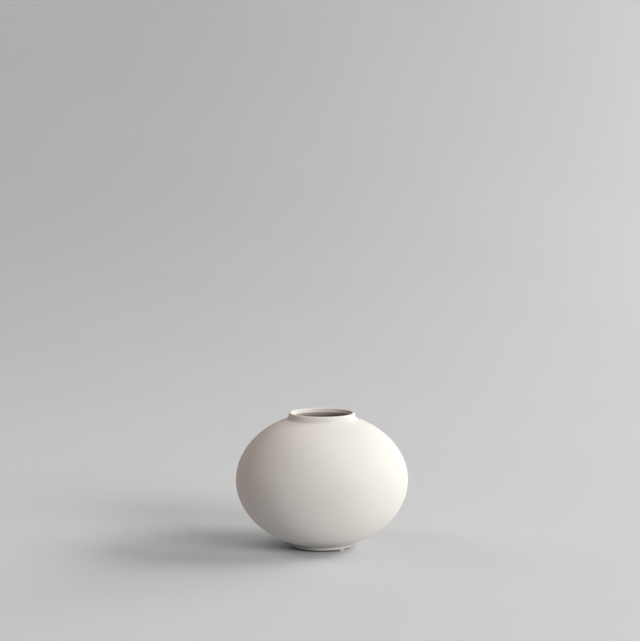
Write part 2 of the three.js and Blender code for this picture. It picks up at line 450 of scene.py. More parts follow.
class Bench:
    """A new node material, with short ways to add textures and join them."""

    def __init__(self, name: str, gloss: float) -> None:
        """Starts a material with one shader.

        Args:
            name: name of the material.
            gloss: strength of the reflection.
        """
        self.material = bpy.data.materials.new(name)
        self.material.use_nodes = True
        self.tree = self.material.node_tree
        self.shader = self.tree.nodes["Principled BSDF"]
        self.shader.inputs["Specular IOR Level"].default_value = gloss
        self.place = self.tree.nodes.new("ShaderNodeTexCoord").outputs["Object"]

    def join(self, source: Socket, target: Socket) -> None:
        """Leads one socket into another."""
        self.tree.links.new(source, target)

    def stretched(self, across: float, up: float) -> Socket:
        """Place on the object, scaled.

        Args:
            across: scale along X and Y.
            up: scale along Z.

        Returns:
            The scaled place.
        """
        mapping = self.tree.nodes.new("ShaderNodeMapping")
        mapping.inputs["Scale"].default_value = (across, across, up)
        self.join(self.place, mapping.inputs["Vector"])
        return mapping.outputs["Vector"]

    def clouds(self, mottle: Mottle) -> Socket:
        """Cloudy noise.

        Args:
            mottle: its lumps.

        Returns:
            A value round a half.
        """
        noise = self.tree.nodes.new("ShaderNodeTexNoise")
        noise.inputs["Scale"].default_value = 1 / mottle.lump
        noise.inputs["Detail"].default_value = mottle.detail
        place = self.stretched(*mottle.stretch) if mottle.stretch else self.place
        self.join(place, noise.inputs["Vector"])
        return noise.outputs["Fac"]

    def dots(self, specks: Specks) -> Socket:
        """Scattered round dots.

        Args:
            specks: the dots.

        Returns:
            Share of their tone: full in the middle of a dot, 0 between dots.
        """
        cells = self.tree.nodes.new("ShaderNodeTexVoronoi")
        cells.inputs["Scale"].default_value = 1 / specks.spacing
        self.join(self.place, cells.inputs["Vector"])
        middle = self.spread(cells.outputs["Distance"], (specks.size / specks.spacing, 0), WHOLE)
        return self.spread(middle, specks.shows, (0, specks.strength))

    def share(self, noise: Socket, mottle: Mottle) -> Socket:
        """Share of a second colour that cloudy noise brings in."""
        return self.spread(noise, mottle.shows, (0, mottle.strength))

    def spread(self, value: Socket, given: Span, wanted: Span) -> Socket:
        """A value brought from one range to another, and kept inside it.

        Args:
            value: the value.
            given: its range.
            wanted: the range that it gets.

        Returns:
            The new value.
        """
        mapped = self.tree.nodes.new("ShaderNodeMapRange")
        mapped.inputs["From Min"].default_value, mapped.inputs["From Max"].default_value = given
        mapped.inputs["To Min"].default_value, mapped.inputs["To Max"].default_value = wanted
        self.join(value, mapped.inputs["Value"])
        return mapped.outputs["Result"]

    def tone(self, share: Socket, first: Socket | Colour, second: Colour) -> Socket:
        """A colour between two.

        Args:
            share: share of the second colour.
            first: the colour at share 0, or where it comes from.
            second: the colour at share 1.

        Returns:
            The mixed colour.
        """
        mix = self.tree.nodes.new("ShaderNodeMix")
        mix.data_type = "RGBA"
        under = mix.inputs[MIX_FIRST]
        self.join(share, mix.inputs[MIX_FACTOR])
        if isinstance(first, tuple):
            under.default_value = (*first, 1)
        else:
            self.join(first, under)
        mix.inputs[MIX_SECOND].default_value = (*second, 1)
        return mix.outputs[MIX_RESULT]

    def noted(self, measure: Measure, given: Span, wanted: Span) -> Socket:
        """A measure that is noted on the mesh, brought to a range.

        Args:
            measure: the measure.
            given: range of it that is read.
            wanted: the range that it gets.

        Returns:
            The new value.
        """
        attribute = self.tree.nodes.new("ShaderNodeAttribute")
        attribute.attribute_name = measure.value
        return self.spread(attribute.outputs["Fac"], given, wanted)

    def level(self, given: Span, wanted: Span) -> Socket:
        """Height above the table, brought to a range.

        Args:
            given: range of the height.
            wanted: the range that it gets.

        Returns:
            The new value.
        """
        parts = self.tree.nodes.new("ShaderNodeSeparateXYZ")
        self.join(self.place, parts.inputs["Vector"])
        return self.spread(parts.outputs["Z"], given, wanted)

    def relief(self, height: Socket, depth: float, under: Socket | None = None) -> Socket:
        """Fine relief of the surface.

        Args:
            height: height from 0 to 1.
            depth: real depth from 0 to 1.
            under: coarser relief that this lies on, if any.

        Returns:
            The direction of the surface.
        """
        bump = self.tree.nodes.new("ShaderNodeBump")
        bump.inputs["Strength"].default_value = 1
        bump.inputs["Distance"].default_value = depth
        self.join(height, bump.inputs["Height"])
        if under is not None:
            self.join(under, bump.inputs["Normal"])
        return bump.outputs["Normal"]

    def finish(self, colour: Socket, roughness: Socket, normal: Socket) -> Material:
        """Leads what was made into the shader.

        Args:
            colour: the colour.
            roughness: the roughness.
            normal: the direction of the surface.

        Returns:
            The material.
        """
        self.join(colour, self.shader.inputs["Base Color"])
        self.join(roughness, self.shader.inputs["Roughness"])
        self.join(normal, self.shader.inputs["Normal"])
        return self.material


@dataclass(frozen=True)
class Finish(ABC):
    """A surface as its maker leaves it.

    Attributes:
        tone: main colour.
        roughness: smoothest and roughest.
        gloss: strength of the reflection.
    """

    tone: Colour
    roughness: Span
    gloss: float

    @abstractmethod
    def material(self) -> Material:
        """The finish as a node material."""


@dataclass(frozen=True)
class MattCoat(Finish):
    """Matt bone-white coat over clay: chalky grain, faint clouds, turning lines and pinholes, with painted
    shade in hollows and under the throat and a painted highlight on edges.

    Attributes:
        cloud_tone: colour of the faint clouds.
        chalk_and_edge_highlight_tone: colour of the chalky grain, and a painted highlight on edges such as
            the rolled lip.
        hollow_shade_tone: painted shade in hollows, such as the curve between neck and shoulder.
        pinhole_tone: colour at the bottom of a pinhole.
        bare_tone: colour of the bare clay under the throat, and painted shade there.
        mouth_shade_tone: painted shade deeper under the throat, inside the mouth.
        coat_end: where the coat ends below the throat.
        mouth_shade_from: where the painted shade starts below the throat.
        clouds: the faint clouds.
        chalk: the chalky grain.
        grain: the finest grain.
        lines: the turning lines.
        pinholes: the pinholes.
        shaded_hollows: hollows over which the painted shade comes in, from shallow to sharp.
        highlit_edges: edges over which the painted highlight comes in, from blunt to sharp.
        edge_strength: how fully its tone changes there.
        dryness: how dry and powdery the coat looks.
    """

    tone: Colour = (0.70, 0.682, 0.653)
    roughness: Span = (0.66, 0.84)
    gloss: float = 0.25
    cloud_tone: Colour = (0.68, 0.657, 0.622)
    # Colour of the chalky grain, and of the painted highlight on edges
    chalk_and_edge_highlight_tone: Colour = (0.73, 0.707, 0.665)
    # Painted shade in the hollows
    hollow_shade_tone: Colour = (0.665, 0.64, 0.595)
    pinhole_tone: Colour = (0.46, 0.41, 0.35)
    # Bare clay under the throat, and painted shade there
    bare_tone: Colour = (0.62, 0.54, 0.495)
    # Painted shade inside the mouth
    mouth_shade_tone: Colour = (0.35, 0.295, 0.26)
    coat_end: Span = (0.1 * MM, 0.5 * MM)
    mouth_shade_from: Span = (3.1 * MM, 3.7 * MM)
    clouds: Mottle = Mottle(34 * MM, 4, shows=(0.35, 0.7))
    chalk: Mottle = Mottle(1.6 * MM, 3, shows=(0.45, 0.75), strength=0.7, depth=0.065 * MM)
    grain: Mottle = Mottle(0.35 * MM, 2, depth=0.035 * MM)
    lines: Mottle = Mottle(1 * MM, 2, depth=0.07 * MM, stretch=(0.02, 0.8))
    pinholes: Specks = Specks(5.5 * MM, 0.16 * MM, shows=(0.2, 0.8), strength=0.7)
    shaded_hollows: Span = (-0.1, -0.6)
    highlit_edges: Span = (0.2, 0.9)
    edge_strength: float = 0.8
    dryness: float = 0.5

    def material(self) -> Material:
        """The coat as a node material."""
        bench = Bench("matt_coat", self.gloss)
        chalk = bench.clouds(self.chalk)
        sharp = (0, self.edge_strength)
        layers = (
            (bench.share(bench.clouds(self.clouds), self.clouds), self.cloud_tone),
            (bench.share(chalk, self.chalk), self.chalk_and_edge_highlight_tone),
            # Painted shade: darker in the hollows of the section
            (bench.noted(Measure.EDGE, self.shaded_hollows, sharp), self.hollow_shade_tone),
            # Painted highlight: lighter on the sharp edges, such as the rolled lip
            (bench.noted(Measure.EDGE, self.highlit_edges, sharp), self.chalk_and_edge_highlight_tone),
            (bench.dots(self.pinholes), self.pinhole_tone),
            # Painted shade inside the mouth: darker and warmer with depth under the throat
            (bench.noted(Measure.BELOW_THROAT, self.coat_end, WHOLE), self.bare_tone),
            (bench.noted(Measure.BELOW_THROAT, self.mouth_shade_from, WHOLE), self.mouth_shade_tone),
        )
        colour = self.tone
        for share, tone in layers:
            colour = bench.tone(share, colour, tone)
        normal = bench.relief(bench.clouds(self.lines), self.lines.depth)
        normal = bench.relief(chalk, self.chalk.depth, normal)
        normal = bench.relief(bench.clouds(self.grain), self.grain.depth, normal)
        bench.shader.inputs["Diffuse Roughness"].default_value = self.dryness
        return bench.finish(colour, bench.spread(chalk, NOISE_SPAN, self.roughness), normal)


@dataclass(frozen=True)
class TrimmedClay(Finish):
    """Trimmed foot: the coat outside, and bare sandy clay where it stands.

    Attributes:
        bare_tone: colour of the bare clay.
        sand_tone: colour of the grains of sand in it.
        bare_below: height under which the coat is wiped off.
        wiped_edge: height over which the coat fades, above and below.
        wander: patches where less sand shows.
        sand: the sandy grain.
        lines: the trimming lines.
        grains: the grains of sand.
    """

    tone: Colour = (0.575, 0.56, 0.54)
    roughness: Span = (0.75, 0.95)
    gloss: float = 0.2
    bare_tone: Colour = (0.48, 0.457, 0.437)
    sand_tone: Colour = (0.36, 0.325, 0.29)
    bare_below: float = 1.9 * MM
    wiped_edge: float = 0.5 * MM
    wander: Mottle = Mottle(3 * MM, 3, shows=(0.35, 0.65), strength=0.5)
    sand: Mottle = Mottle(0.5 * MM, 3, shows=(0.4, 0.7), strength=0.6, depth=0.05 * MM)
    lines: Mottle = Mottle(0.7 * MM, 2, depth=0.03 * MM, stretch=(0.03, 1))
    grains: Specks = Specks(1.1 * MM, 0.18 * MM, shows=(0.3, 0.8), strength=0.6)

    def material(self) -> Material:
        """The trimmed foot as a node material."""
        bench = Bench("trimmed_clay", self.gloss)
        sand = bench.clouds(self.sand)
        wiped = (self.bare_below - self.wiped_edge, self.bare_below + self.wiped_edge)
        colour = bench.tone(bench.share(sand, self.sand), self.bare_tone, self.tone)
        colour = bench.tone(bench.dots(self.grains), colour, self.sand_tone)
        colour = bench.tone(bench.share(bench.clouds(self.wander), self.wander), colour, self.bare_tone)
        colour = bench.tone(bench.level(wiped, WHOLE), colour, self.tone)
        normal = bench.relief(bench.clouds(self.lines), self.lines.depth)
        normal = bench.relief(sand, self.sand.depth, normal)
        return bench.finish(colour, bench.spread(sand, NOISE_SPAN, self.roughness), normal)


@dataclass(frozen=True)
class SatinGlaze(Finish):
    """Watertight lining glaze: satin, a little uneven, deeper in tone where it pools on the floor.

    Attributes:
        pool_tone: colour where it pools.
        pool_level: heights at the bottom and the top of the pool.
        pool_strength: how fully its tone changes at the bottom.
        pinhole_tone: colour at the bottom of a pinhole.
        runs: uneven runs down the wall.
        ripple: the ripple of its skin.
        pinholes: the pinholes.
    """

    tone: Colour = (0.58, 0.535, 0.49)
    roughness: Span = (0.28, 0.46)
    gloss: float = 0.5
    pool_tone: Colour = (0.50, 0.455, 0.41)
    pool_level: Span = (9 * MM, 40 * MM)
    pool_strength: float = 0.8
    pinhole_tone: Colour = (0.40, 0.35, 0.30)
    runs: Mottle = Mottle(9 * MM, 3, shows=(0.35, 0.7), strength=0.6, stretch=(1, 0.35))
    ripple: Mottle = Mottle(2.2 * MM, 2, depth=0.03 * MM)
    pinholes: Specks = Specks(6 * MM, 0.2 * MM, shows=(0.2, 0.8), strength=0.5)

    def material(self) -> Material:
        """The glaze as a node material."""
        bench = Bench("satin_glaze", self.gloss)
        runs = bench.clouds(self.runs)
        pool = bench.level(self.pool_level, (self.pool_strength, 0))
        colour = bench.tone(bench.share(runs, self.runs), self.tone, self.pool_tone)
        colour = bench.tone(pool, colour, self.pool_tone)
        colour = bench.tone(bench.dots(self.pinholes), colour, self.pinhole_tone)
        normal = bench.relief(bench.clouds(self.ripple), self.ripple.depth)
        return bench.finish(colour, bench.spread(runs, NOISE_SPAN, self.roughness), normal)


@dataclass(frozen=True)
class SoftRubber(Finish):
    """Clear soft rubber with fine dust on it.

    Attributes:
        dust_tone: colour of the dust.
        cloudiness: share of the light that scatters under the skin.
        scatter: how far red, green and blue light scatter under the skin.
        dust: the dust.
        skin: the fine grain of its skin.
    """

    tone: Colour = (0.66, 0.65, 0.63)
    roughness: Span = (0.36, 0.6)
    gloss: float = 0.5
    dust_tone: Colour = (0.55, 0.535, 0.515)
    cloudiness: float = 0.3
    scatter: Colour = (0.5 * MM, 0.48 * MM, 0.45 * MM)
    dust: Mottle = Mottle(0.6 * MM, 4, shows=(0.45, 0.7), strength=0.7)
    skin: Mottle = Mottle(0.25 * MM, 2, depth=0.01 * MM)

    def material(self) -> Material:
        """The rubber as a node material."""
        bench = Bench("soft_rubber", self.gloss)
        dust = bench.clouds(self.dust)
        colour = bench.tone(bench.share(dust, self.dust), self.tone, self.dust_tone)
        normal = bench.relief(bench.clouds(self.skin), self.skin.depth)
        bench.shader.inputs["Subsurface Weight"].default_value = self.cloudiness
        bench.shader.inputs["Subsurface Radius"].default_value = self.scatter
        bench.shader.inputs["Subsurface Scale"].default_value = 1
        return bench.finish(colour, bench.spread(dust, NOISE_SPAN, self.roughness), normal)


@dataclass(frozen=True)
class PaleBoard(Finish):
    """Pale sweep that the vase stands on, with a faint tooth.

    Attributes:
        faint: how light its darker clouds are, as a share of its tone.
        clouds: the clouds.
        tooth: the tooth.
    """

    tone: Colour = (0.55, 0.553, 0.567)
    roughness: Span = (0.85, 0.95)
    gloss: float = 0.1
    faint: float = 0.985
    clouds: Mottle = Mottle(0.4, 2, shows=(0.35, 0.65))
    tooth: Mottle = Mottle(1.5 * MM, 2, depth=0.02 * MM)

    def material(self) -> Material:
        """The board as a node material."""
        bench = Bench("pale_board", self.gloss)
        tooth = bench.clouds(self.tooth)
        darker = tuple(self.faint * part for part in self.tone)
        colour = bench.tone(bench.share(bench.clouds(self.clouds), self.clouds), self.tone, darker)
        normal = bench.relief(tooth, self.tooth.depth)
        return bench.finish(colour, bench.spread(tooth, NOISE_SPAN, self.roughness), normal)


@dataclass(frozen=True)
class BodyForm:
    """Sizes that the clay members share.

    Attributes:
        belly_radius: outside, at the widest ring.
        belly_level: height of the widest ring.
        seat_level: height of the underside, where the foot is joined on.
        foot_radius: outside of the foot.
        lap_radius: where the collar's flange ends on the shoulder.
        lip_top: height of the lip.
        wall: clay of the bowls.
        base: clay between the floor and the underside.
        foot_width: width of the foot ring.
    """

    belly_radius: float
    belly_level: float
    seat_level: float
    foot_radius: float
    lap_radius: float
    lip_top: float
    wall: float = 3 * MM
    base: float = 4 * MM
    foot_width: float = 6 * MM

    @classmethod
    def from_frame(cls, slip: float = 0.3 * MM) -> "BodyForm":
        """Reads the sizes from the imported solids.

        Args:
            slip: width of the open joint round the collar's flange in the solids.

        Returns:
            The sizes.
        """
        bowl_low, bowl_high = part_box("lower_bowl")
        _, foot_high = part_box("foot_ring")
        _, collar_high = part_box("neck_collar")
        return cls(
            belly_radius=bowl_high.x,
            belly_level=bowl_high.z,
            seat_level=bowl_low.z,
            foot_radius=foot_high.x,
            lap_radius=collar_high.x + slip,
            lip_top=collar_high.z,
        )

    @property
    def outside(self) -> Round:
        """The round of the outside, which passes through the top of the foot."""
        drop = self.belly_level - self.seat_level
        up = drop / math.sqrt(1 - (self.foot_radius / self.belly_radius) ** 2)
        return Round(self.belly_radius, up, self.belly_level)

    @property
    def inside(self) -> Round:
        """The round of the clay's inside."""
        return self.outside.taken_in(self.wall)

    @property
    def floor_level(self) -> float:
        """Height of the clay's floor."""
        return self.seat_level + self.base


@dataclass(frozen=True)
class NeckForm:
    """Curves of the neck in section.

    Attributes:
        body: sizes of the clay members.
        mouth_radius: middle of the lip.
        lip_thickness: thickness of the rolled lip.
        batter: lean of the neck's outside.
        hollow: radius of the hollow curve between neck and shoulder.
        funnel: lean of the neck's inside.
        throat_depth: from the top of the lip to the throat's edge.
        throat_round: radius of the throat's edge.
        undercut: fall of the clay under the throat.
        spigot_land: along the inside, from the undercut to the joint with the bowl.
        rebate: how deep the collar's flange is let into the shoulder.
    """

    body: BodyForm
    mouth_radius: float = 29.35 * MM
    lip_thickness: float = 2.6 * MM
    batter: float = math.radians(13)
    hollow: float = 4 * MM
    funnel: float = math.radians(14)
    throat_depth: float = 3.5 * MM
    throat_round: float = 0.9 * MM
    undercut: float = math.radians(50)
    spigot_land: float = 1.9 * MM
    rebate: float = 1.6 * MM

    @property
    def lip_radius(self) -> float:
        """Radius of the rolled lip."""
        return self.lip_thickness / 2

    @property
    def lip_centre(self) -> Vector:
        """Middle of the rolled lip."""
        return Vector((self.mouth_radius, self.body.lip_top - self.lip_radius))

    def hollow_angle(self) -> float:
        """Angle on the body's round where the hollow curve leaves it."""
        return where_it_falls(self.hollow_clearance, 0, QUARTER_TURN)

    def hollow_centre(self, angle: float) -> Vector:
        """Centre of a hollow curve that stands on the body at an angle."""
        shoulder = self.body.outside
        return shoulder.point(angle) + self.hollow * shoulder.outward(angle)

    def hollow_clearance(self, angle: float) -> float:
        """Gap from the neck's outside to a hollow curve that stands on the body at an angle."""
        reach = (self.hollow_centre(angle) - self.lip_centre).dot(towards(self.batter))
        return reach - self.lip_radius - self.hollow

    def hollow_arc(self, steps: int) -> list[Vector]:
        """Points up the hollow curve, from the shoulder to the neck.

        Args:
            steps: number of steps.

        Returns:
            The points, with both ends.
        """
        angle = self.hollow_angle()
        outward = self.body.outside.outward(angle)
        start = math.atan2(outward.y, outward.x) + HALF_TURN
        return circle_arc(self.hollow_centre(angle), self.hollow, start, self.batter + HALF_TURN, steps)

    def lip_arc(self, steps: int) -> list[Vector]:
        """Points over the lip, from outside to inside."""
        return circle_arc(self.lip_centre, self.lip_radius, self.batter, HALF_TURN - self.funnel, steps)

    def throat_arc(self, steps: int) -> list[Vector]:
        """Points round the throat's edge.

        Args:
            steps: number of steps.

        Returns:
            The points, with both ends.
        """
        down = towards(-QUARTER_TURN - self.funnel)
        centre = self.lip_centre + (self.lip_radius - self.throat_round) * towards(HALF_TURN - self.funnel)
        centre += (self.body.lip_top - self.throat_depth - centre.y) / down.y * down
        end = 3 * QUARTER_TURN - self.undercut
        return circle_arc(centre, self.throat_round, HALF_TURN - self.funnel, end, steps)

    def undercut_end(self) -> Vector:
        """Where the clay under the throat meets the inside of the shoulder.

        Returns:
            The point in section.
        """
        start = self.throat_arc(1)[-1]
        inside = self.body.inside

        def above_shoulder(distance: float) -> float:
            """Height of a point down the undercut above the inside of the shoulder."""
            point = start + distance * towards(-self.undercut)
            return point.y - inside.height_at_radius(point.x)

        longest = self.body.belly_radius / 2
        return start + where_it_falls(above_shoulder, 0, longest) * towards(-self.undercut)

    @property
    def opening_radius(self) -> float:
        """Radius of the bowl's opening, which the collar stands in."""
        return self.undercut_end().x + self.spigot_land


@dataclass
class Member(ABC):
    """A sub-assembly of the vase.

    Attributes:
        wheel: what turns its sections.
        form: sizes that the clay members share.
    """

    wheel: Wheel
    form: BodyForm

    @abstractmethod
    def build(self) -> list[Piece]:
        """Makes the sub-assembly's pieces, dressed and in place."""

    def set_in_place(self, piece: Piece, node: str, slot: Slot, finish: Material) -> Piece:
        """Dresses a piece and puts it in the place of its solid.

        Args:
            piece: the piece.
            node: the solid that it stands for.
            slot: the record's slot for its finish; not used.
            finish: its material.

        Returns:
            The piece.
        """
        piece.data.materials.append(finish)
        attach(piece, "root")
        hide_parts(node)
        return piece


@dataclass
class Bowls(Member):
    """Lower and upper half of the body, joined rim to rim.

    Attributes:
        neck: curves of the neck, for the opening.
        finish: coat of both bowls.
        key_width: ridge of the upper rim, in the groove of the lower rim.
        key_depth: depth of that groove.
        foot_key_width: groove in the underside for the foot.
        foot_key_depth: depth of that groove.
        turn_steps: steps round the axis.
        wall_steps: steps up one wall outside.
        hidden_steps: steps up one wall inside, which the lining covers.
        flat_steps: steps across the floor or the underside.
        joint_steps: steps along the collar's seat.
    """

    neck: NeckForm
    finish: MattCoat = MattCoat()
    key_width: float = 1.4 * MM
    key_depth: float = 1 * MM
    foot_key_width: float = 2.6 * MM
    foot_key_depth: float = 1 * MM
    turn_steps: int = 256
    wall_steps: int = 84
    hidden_steps: int = 42
    flat_steps: int = 12
    joint_steps: int = 6

    def belly_key(self) -> list[Vector]:
        """Outline of the belly joint, from outside to inside.

        Returns:
            The three points of the groove, which the ridge fills.
        """
        middle = self.form.belly_radius - self.form.wall / 2
        level = self.form.belly_level
        return [
            Vector((middle + self.key_width / 2, level)),
            Vector((middle, level - self.key_depth)),
            Vector((middle - self.key_width / 2, level)),
        ]

    def lower_section(self) -> Section:
        """Section of the lower bowl, from the middle of the underside to the middle of the floor.

        Returns:
            The outline.
        """
        form, outside, inside = self.form, self.form.outside, self.form.inside
        groove_middle = form.foot_radius - form.foot_width / 2
        groove_in = groove_middle - self.foot_key_width / 2
        groove_out = groove_middle + self.foot_key_width / 2
        groove_top = form.seat_level + self.foot_key_depth
        middle, rim = Vector((0, form.seat_level)), Vector((groove_in, form.seat_level))
        groove = [
            Vector((groove_in, groove_top)),
            Vector((groove_out, groove_top)),
            Vector((groove_out, form.seat_level)),
        ]
        foot_angle = outside.angle_at_level(form.seat_level)
        floor_angle = inside.angle_at_level(form.floor_level)
        floor_edge = inside.point(floor_angle)
        section = Section()
        section.run(straight(middle, rim, self.flat_steps), Skin.OUTSIDE)
        section.run(groove, Skin.JOINT)
        section.run(outside.arc(foot_angle, 0, self.wall_steps, Spacing.CLOSER_AT_ENDS), Skin.OUTSIDE)
        section.run(self.belly_key(), Skin.JOINT)
        section.run(inside.arc(0, floor_angle, self.hidden_steps, Spacing.EVEN), Skin.JOINT)
        section.run(straight(floor_edge, Vector((0, form.floor_level)), self.flat_steps), Skin.JOINT)
        return section

    def upper_section(self) -> Section:
        """Section of the upper bowl, from the rim up to the opening and back inside.

        Returns:
            The outline.
        """
        form, outside, inside = self.form, self.form.outside, self.form.inside
        rebate = outside.taken_in(self.neck.rebate)
        lap, opening = form.lap_radius, self.neck.opening_radius
        wall = (0, outside.angle_at_radius(lap))
        seat = (rebate.angle_at_radius(lap), rebate.angle_at_radius(opening))
        hidden = (inside.angle_at_radius(opening), 0)
        section = Section()
        section.run(outside.arc(*wall, self.wall_steps, Spacing.CLOSER_AT_ENDS), Skin.OUTSIDE)
        section.run(rebate.arc(*seat, self.joint_steps, Spacing.EVEN), Skin.JOINT)
        section.run(inside.arc(*hidden, self.hidden_steps, Spacing.EVEN), Skin.JOINT)
        section.run(reversed(self.belly_key()), Skin.JOINT)
        return section

    def build(self) -> list[Piece]:
        """Makes both bowls.

        Returns:
            The lower and the upper bowl.
        """
        coat = self.finish.material()
        lower = self.wheel.turn("thrown_lower_bowl", self.lower_section(), self.turn_steps)
        upper = self.wheel.turn("thrown_upper_bowl", self.upper_section(), self.turn_steps)
        return [
            self.set_in_place(lower, "lower_bowl", Slot.MATT_CERAMIC, coat),
            self.set_in_place(upper, "upper_bowl", Slot.MATT_CERAMIC, coat),
        ]


@dataclass
class NeckCollar(Member):
    """Collar with the neck and its rolled lip, lapped into the shoulder.

    Attributes:
        neck: curves of the neck.
        coat: material of the bowls, which runs on over the collar.
        turn_steps: steps round the axis.
        curve_steps: steps along a small round.
        lip_steps: steps over the lip.
        short_steps: steps along a short straight.
        joint_steps: steps along the joint with the bowl.
    """

    neck: NeckForm
    coat: Material
    turn_steps: int = 256
    curve_steps: int = 16
    lip_steps: int = 32
    short_steps: int = 8
    joint_steps: int = 6

    def section(self) -> Section:
        """Section of the collar, from the foot of its spigot round to the undercut.

        Returns:
            The outline.
        """
        form, neck, steps = self.form, self.neck, self.curve_steps
        outside, inside = form.outside, form.inside
        bed = outside.taken_in(self.neck.rebate)
        opening, lap = neck.opening_radius, form.lap_radius
        seat = (bed.angle_at_radius(opening), bed.angle_at_radius(lap))
        flange = (outside.angle_at_radius(lap), neck.hollow_angle())
        hollow, lip, throat = neck.hollow_arc(steps), neck.lip_arc(self.lip_steps), neck.throat_arc(steps)
        undercut = neck.undercut_end()
        land = (inside.angle_at_radius(undercut.x), inside.angle_at_radius(opening))
        section = Section()
        section.run(bed.arc(*seat, self.joint_steps, Spacing.EVEN), Skin.JOINT)
        section.run(outside.arc(*flange, steps, Spacing.CLOSER_AT_ENDS), Skin.OUTSIDE)
        section.run(hollow, Skin.OUTSIDE)
        section.run(straight(hollow[-1], lip[0], self.short_steps), Skin.OUTSIDE)
        section.run(lip, Skin.OUTSIDE)
        section.run(straight(lip[-1], throat[0], steps), Skin.OUTSIDE)
        section.run(throat, Skin.OUTSIDE)
        section.run(straight(throat[-1], undercut, self.short_steps), Skin.UNDER_THROAT)
        section.run(inside.arc(*land, self.joint_steps, Spacing.EVEN), Skin.UNDER_THROAT)
        return section

    def build(self) -> list[Piece]:
        """Makes the collar."""
        collar = self.wheel.turn("neck_with_lip", self.section(), self.turn_steps)
        return [self.set_in_place(collar, "neck_collar", Slot.MATT_CERAMIC, self.coat)]


@dataclass
class FootRing(Member):
    """Low waisted ring that the vase stands on.

    Attributes:
        finish: trimmed clay.
        waist: how far the outside is drawn in between its edges.
        edge_round: radius of both lower edges.
        key_width: ridge on top, in the groove of the bowl.
        turn_steps: steps round the axis.
        curve_steps: steps along a small round.
        waist_steps: steps up the waisted outside.
    """

    finish: TrimmedClay = TrimmedClay()
    waist: float = 1.3 * MM
    edge_round: float = 0.8 * MM
    key_width: float = 2 * MM
    turn_steps: int = 224
    curve_steps: int = 10
    waist_steps: int = 20

    def waist_curve(self, low: Vector, high: Vector) -> list[Vector]:
        """Points up the waisted outside.

        Args:
            low: upper end of the lower edge's round.
            high: outer edge of the top.

        Returns:
            The points, with both ends.
        """
        # The curve comes half as far in as the point that pulls it
        pulled_in = low.lerp(high, 0.5) - Vector((2 * self.waist, 0))
        curve = shares(self.waist_steps, Spacing.CLOSER_AT_ENDS)
        return [low.lerp(pulled_in, t).lerp(pulled_in.lerp(high, t), t) for t in curve]

    def section(self) -> Section:
        """Section of the ring, from its inner lower edge outwards and over the top.

        Returns:
            The outline.
        """
        low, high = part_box("foot_ring")
        outer, inner = high.x, high.x - self.form.foot_width
        bottom, top, key_top = low.z, self.form.seat_level, high.z
        round_level = bottom + self.edge_round
        inner_round = Vector((inner + self.edge_round, round_level))
        outer_round = Vector((outer - self.edge_round, round_level))
        middle, key_half = (outer + inner) / 2, self.key_width / 2
        edge, steps = self.edge_round, self.curve_steps
        inside_edge = circle_arc(inner_round, edge, HALF_TURN, 3 * QUARTER_TURN, steps)
        outside_edge = circle_arc(outer_round, edge, -QUARTER_TURN, 0, steps)
        key = [
            Vector((middle + key_half, top)),
            Vector((middle + key_half, key_top)),
            Vector((middle - key_half, key_top)),
            Vector((middle - key_half, top)),
        ]
        section = Section()
        section.run(inside_edge, Skin.OUTSIDE)
        section.run(straight(inside_edge[-1], outside_edge[0], steps), Skin.OUTSIDE)
        section.run(outside_edge, Skin.OUTSIDE)
        section.run(self.waist_curve(outside_edge[-1], Vector((outer, top))), Skin.OUTSIDE)
        section.run(key, Skin.JOINT)
        section.run(straight(Vector((inner, top)), inside_edge[0], steps), Skin.OUTSIDE)
        return section

    def build(self) -> list[Piece]:
        """Makes the foot ring."""
        ring = self.wheel.turn("trimmed_foot", self.section(), self.turn_steps)
        return [self.set_in_place(ring, "foot_ring", Slot.FOOT_CERAMIC, self.finish.material())]


